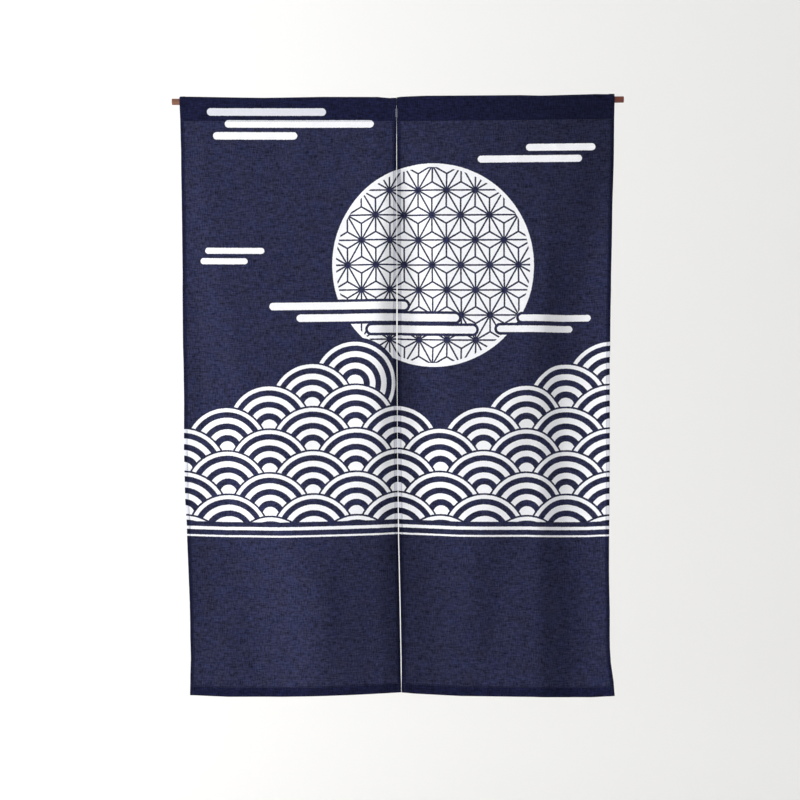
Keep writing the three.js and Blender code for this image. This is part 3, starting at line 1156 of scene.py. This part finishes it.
def stitch_row(side, start, end, height):
    """The middle lines of a row of stitches from one place on the cloth to another, and the way out
    from the cloth at each ring. Height is the row's height off the cloth's middle layer, and it is
    below nought on the back."""
    start, end = np.array(start, float), np.array(end, float)
    length = np.linalg.norm(end - start)
    count = int(length / STITCH_PITCH)
    first = (np.arange(count) + 0.5) * length / count
    ring = np.linspace(-0.5, 0.5, STITCH_RINGS)
    travel = (first[:, None] + ring * STITCH_LENGTH) / length
    place = start + (end - start) * travel[..., None]
    arch = np.sign(height) * ARCH * (1 - (2 * ring) ** 2)
    lift = height + np.broadcast_to(arch, travel.shape)
    middle = cloth_point(side, place[..., 0], place[..., 1], -lift)
    outward = outward_at(side, place[..., 0], place[..., 1]) * np.sign(height)
    return middle, outward


def make_stitches(side):
    """Every row of machine stitches on one panel, front and back, joined in one piece."""
    face = CLOTH / 2 + THREAD_CLEAR
    back = -face - LAYER_PITCH
    hem, casing = BOTTOM_HEM - ROW_INSET, FRONT_STITCHES - ROW_STOP
    far = PANEL_WIDTH - ROW_START
    back_start = SIDE_HEM + BACK_ROW_START
    rows = [stitch_row(side, (ROW_START, along), (far, along), face)
            for along in (FRONT_STITCHES, BACK_STITCHES, hem)]
    rows.append(stitch_row(side, (back_start, hem), (PANEL_WIDTH - back_start, hem), back))
    for across in (SIDE_HEM - ROW_INSET, PANEL_WIDTH - SIDE_HEM + ROW_INSET):
        rows.append(stitch_row(side, (across, ROW_START), (across, casing), face))
        rows.append(stitch_row(side, (across, BOTTOM_HEM + ROW_START), (across, casing), back))
    middle = np.concatenate([row[0] for row in rows])
    outward = np.concatenate([row[1] for row in rows])
    thread = make_piece(f"stitches_{side}", tubes(middle, outward), tube_faces(len(middle)))
    thread.data.materials.append(navy_thread)
    print(thread.name, len(middle), "stitches")
    return thread


stitches = {side: make_stitches(side) for side in ("left", "right")}

# %% [markdown]
# ## The seam between the panels
# Over the casing the two panels are held edge to edge. Slanted hand stitches run down the seam, front
# and back, and a close little block of grey thread at the front keeps the slit from tearing further.

# %% Seam and tack
SEAM_REACH = 2.6
TACK_FROM, TACK_TO = 13.5, 30.0
TACK_PITCH = 0.62
WHIP_PITCH = 4.2
# The slanted stitches start this far over the stitch line and run this far on to the crown.
WHIP_START, WHIP_STOP = 2, 6
# How far along the seam one thread of each kind travels as it crosses.
WHIP_SLANT, TACK_SLANT = 2.4, 0.5
# A thread's middle stands off the cloth by this share of its radius.
THREAD_SUNK = 0.6


def across_the_seam(along, rise, height):
    """Threads that cross the slit level or slanted: from the left panel's edge to the right panel's,
    each ring between the two at a share of the way."""
    share = np.linspace(0, 1, STITCH_RINGS)
    place = along[:, None] + rise * (share - 0.5)
    left_across = np.full(place.shape, PANEL_WIDTH - SEAM_REACH)
    right_across = np.full(place.shape, SEAM_REACH)
    left = cloth_point("left", left_across, place, np.full(place.shape, -height))
    right = cloth_point("right", right_across, place, np.full(place.shape, -height))
    outward = outward_at("left", left_across, place)
    arch = ARCH * (1 - (2 * share - 1) ** 2)
    middle = left + (right - left) * share[:, None] + outward * arch[:, None]
    return middle, outward


def make_seam():
    """The slanted stitches and the tack, as two pieces, because their threads differ."""
    height = CLOTH / 2 + THREAD_RADIUS * THREAD_SUNK
    front_top = course_length[1] + (STITCH_LINE - TACK_FROM)
    whip_front = np.arange(FRONT_STITCHES + WHIP_START, CROWN_FROM + WHIP_STOP, WHIP_PITCH)
    whip_back = np.arange(CROWN_TO, BACK_STITCHES, WHIP_PITCH)
    whip = across_the_seam(np.concatenate([whip_front, whip_back]), WHIP_SLANT, height)
    seam = make_piece("seam_stitches", tubes(*whip), tube_faces(len(whip[0])))
    seam.data.materials.append(navy_thread)
    bars = np.arange(front_top - (TACK_TO - TACK_FROM), front_top, TACK_PITCH)
    tack_rows = across_the_seam(bars, TACK_SLANT, height + THREAD_RADIUS)
    tack = make_piece("slit_tack", tubes(*tack_rows), tube_faces(len(bars)))
    tack.data.materials.append(grey_thread)
    print("seam", len(whip[0]), "stitches, tack", len(bars), "threads")


make_seam()

# %% [markdown]
# ## The rod
# The rod is a turned stick of a light wood with a reddish brown stain and a low satin varnish. Its
# surface is a circle carried along a sagging line, and its end edges are rounded off by hand. The grain
# is noise stretched along the stick, with darker pores, and the colour gets darker towards the right
# end, which is painted shade.

# %% Rod
ROD_ROUND = 0.9
ROUND_STEPS = 6
ROD_AROUND = 56
ROD_ALONG = 120
# The rings on a flat end, as shares of its radius.
END_RINGS = [0.02, 0.35, 0.7]
# A stick is not quite round: how much flatter it gets, and how that comes and goes along it.
FLATTER, FLATTER_LENGTH, FLATTER_PHASE = 0.006, 61, 1.3


def rod_surface():
    """A circle along X. Close to each end its radius falls off as a quarter circle, and then goes to
    nought on the flat end, with the rings' middles on the sagging line."""
    turn = np.linspace(0, math.pi / 2, ROUND_STEPS)
    half = ROD_LENGTH / 2
    end_x = half - ROD_ROUND + ROD_ROUND * np.cos(turn)
    end_radius = ROD_RADIUS - ROD_ROUND + ROD_ROUND * np.sin(turn)
    body = np.linspace(half - ROD_ROUND, ROD_ROUND - half, ROD_ALONG)[1:-1]
    flat = np.array(END_RINGS) * (ROD_RADIUS - ROD_ROUND)
    flat_x = np.full(len(flat), half)
    x = np.concatenate([flat_x, end_x, body, -end_x[::-1], -flat_x])
    radius = np.concatenate([flat, end_radius, np.full(len(body), ROD_RADIUS), end_radius[::-1],
                             flat[::-1]])
    angle = np.linspace(0, 2 * math.pi, ROD_AROUND, endpoint=False)
    wobble = 1 + FLATTER * np.sin(x[:, None] / FLATTER_LENGTH + FLATTER_PHASE) * np.cos(2 * angle)
    ring = radius[:, None] * np.minimum(wobble, 1.0)
    y = ring * np.cos(angle)
    z = ring * np.sin(angle) - sag_at(x)[:, None]
    return np.stack([np.broadcast_to(x[:, None], y.shape), y, z], axis=-1)


print("rod grid:", rod_surface().shape[:2], "points along and around")

# %% [markdown]
# ### Stained wood
# A stain soaks in unevenly and leaves long pale and dark streaks, and it settles in the pores. The two
# noises read the rod's own coordinates, squeezed hard across the stick and little along it.

# %% Wood material
STREAK_STRETCH, STREAK_RANGE = (7, 240, 240), (0.32, 0.68)
PORE_STRETCH, PORE_RANGE, PORE_DEPTH = (90, 1700, 1700), (0.56, 0.70), 0.5
SHINE_FROM, SHINE_TO = (0.3, 0.7), (0.36, 0.52)
# The colours at the left end and at the right end. The right end's darker colours are painted shade.
DARK_STREAK = [(0.142, 0.053, 0.027, 1), (0.096, 0.014, 0.005, 1)]
PALE_STREAK = [(0.285, 0.118, 0.068, 1), (0.194, 0.036, 0.014, 1)]
PORE = (0.075, 0.030, 0.018, 1)


def stained_wood():
    """Reddish brown wood: long pale and dark streaks, fine pores, a satin varnish, and painted shade towards
    the right end.
    """
    material, tree, shader = new_material("stained_wood")
    place = add_node(tree, "ShaderNodeTexCoord").outputs["Object"]
    streaks = noise(tree, stretched(tree, place, STREAK_STRETCH), 1.0, detail=5.0, roughness=0.65)[0]
    pores = noise(tree, stretched(tree, place, PORE_STRETCH), 1.0, detail=2.0)[0]
    half = ROD_LENGTH * MM / 2
    # The colours get darker towards the right end: painted shade.
    shade_to_right = between(tree, parts_of(tree, place)[0], (-half, half))
    dark = blend(tree, shade_to_right, *DARK_STREAK)
    pale = blend(tree, shade_to_right, *PALE_STREAK)
    stain = blend(tree, between(tree, streaks, STREAK_RANGE), dark, pale)
    in_pore = times(tree, between(tree, pores, PORE_RANGE), PORE_DEPTH)
    feed(tree, shader.inputs["Base Color"], blend(tree, in_pore, stain, PORE))
    feed(tree, shader.inputs["Roughness"], between(tree, pores, SHINE_FROM, SHINE_TO))
    feed(tree, shader.inputs["Normal"], bumped(tree, pores, strength=0.15, distance=0.0002))
    shader.inputs["Coat Weight"].default_value = 0.15
    shader.inputs["Coat Roughness"].default_value = 0.3
    return material


def make_rod():
    """The rod's grid, closed round and closed at both ends by a small cap."""
    points = rod_surface()
    rings, sides = points.shape[:2]
    faces = grid_faces(rings, sides, closed=True)[:, ::-1].tolist()
    faces.append(list(range(sides)))
    faces.append(list(range((rings - 1) * sides, rings * sides))[::-1])
    rod = make_piece("rod_wood", points, faces)
    rod.data.materials.append(stained_wood())
    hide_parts("rod")
    return rod


rod = make_rod()
print(rod.name, len(rod.data.polygons), "faces")
